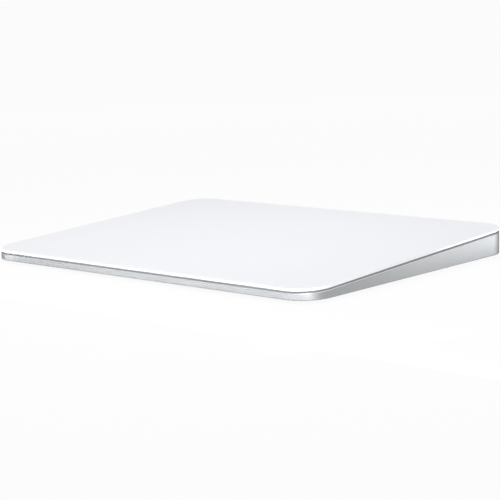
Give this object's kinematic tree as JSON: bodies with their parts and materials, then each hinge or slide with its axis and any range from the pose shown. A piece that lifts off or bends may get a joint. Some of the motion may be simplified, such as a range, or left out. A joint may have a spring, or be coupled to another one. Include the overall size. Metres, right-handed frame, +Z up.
{
  "type": "trackpad",
  "caption": "Thin wedge desk trackpad: white glass touch plate on a sprung suspension over a satin aluminium body, with haptic drive, charge port and power switch.",
  "frame": {"origin": "on the table under the middle of the body", "axes": "+X to the user's right, +Y from the thin front edge to the thick rear edge, +Z up"},
  "size_m": [0.16, 0.115, 0.0109],
  "materials": {
    "anodised_aluminium": "bead blasted and clear anodised, satin",
    "white_glass": "white painted from behind, finely etched top, polished edge",
    "foot_rubber": "moulded, matte",
    "liner_rubber": "foam strip, matte",
    "bonding_tape": "acrylic foam tape",
    "bonding_film": "clear adhesive film",
    "circuit_board": "solder mask on glass fibre board",
    "chip_plastic": "moulded epoxy",
    "spring_steel": "rolled strip",
    "core_steel": "stacked sheet",
    "screw_steel": "zinc plated",
    "coil_copper": "enamelled copper winding",
    "clear_gel": "soft silicone gel",
    "polyimide_film": "copper on polyimide film",
    "cell_pouch": "laminated foil pouch",
    "plated_sheet": "nickel plated sheet",
    "contact_gold": "gold plated",
    "connector_plastic": "moulded nylon",
    "dark_plastic": "moulded, fine grain",
    "knob_plastic": "moulded, fine grain",
    "tab_plastic": "moulded"
  },
  "bodies": {
    "base": {"housing": "anodised_aluminium", "bottom_cover": "anodised_aluminium", "foot_front_left": "foot_rubber", "foot_front_right": "foot_rubber", "foot_rear_left": "foot_rubber", "foot_rear_right": "foot_rubber", "gap_liner": "liner_rubber", "cover_tape": "bonding_tape", "cell_tape": "bonding_tape", "logic_board": "circuit_board", "port_board": "circuit_board", "guard_board": "circuit_board", "processor": "chip_plastic", "charger": "chip_plastic", "flexure_front_left": "spring_steel", "flexure_front_right": "spring_steel", "flexure_rear_left": "spring_steel", "flexure_rear_right": "spring_steel", "cross_member": "spring_steel", "haptic_core": "core_steel", "flexure_screws": "screw_steel", "member_screws": "screw_steel", "board_screws": "screw_steel", "port_screws": "screw_steel", "coil_front": "coil_copper", "coil_middle": "coil_copper", "coil_rear": "coil_copper", "gauge_front_left": "polyimide_film", "gauge_front_right": "polyimide_film", "gauge_rear_left": "polyimide_film", "gauge_rear_right": "polyimide_film", "haptic_flat": "polyimide_film", "battery_flat": "polyimide_film", "touch_flat": "polyimide_film", "port_flat": "polyimide_film", "cell_left": "cell_pouch", "cell_right": "cell_pouch", "radio_shield": "plated_sheet", "antenna": "plated_sheet", "port_shell": "plated_sheet", "port_contacts": "contact_gold", "connectors": "connector_plastic", "port_tongue": "dark_plastic", "switch_body": "dark_plastic"},
    "suspension": {"gel_front_left": "clear_gel", "gel_front_right": "clear_gel", "gel_rear_left": "clear_gel", "gel_rear_right": "clear_gel"},
    "touch_plate": {"glass_plate": "white_glass", "glass_film": "bonding_film", "sensor_board": "circuit_board", "touch_chip": "chip_plastic", "armature": "core_steel"},
    "power_knob": {"switch_knob": "knob_plastic", "switch_tab": "tab_plastic"}
  },
  "joints": [
    {"name": "touch_press", "type": "slide", "parent": "base", "child": "suspension", "axis": [0, 0.0521, -0.9986], "range_m": [0, 0.00015], "stiffness_N_per_m": 20000, "springref_m": -0.0001, "deforming": ["flexure_front_left", "flexure_front_right", "flexure_rear_left", "flexure_rear_right", "gauge_front_left", "gauge_front_right", "gauge_rear_left", "gauge_rear_right", "touch_flat"]},
    {"name": "haptic_shake", "type": "slide", "parent": "suspension", "child": "touch_plate", "axis": [1, 0, 0], "range_m": [-0.0001, 0.0001], "stiffness_N_per_m": 15000},
    {"name": "knob_slide", "type": "slide", "parent": "base", "child": "power_knob", "axis": [1, 0, 0], "range_m": [0, 0.002]}
  ]
}
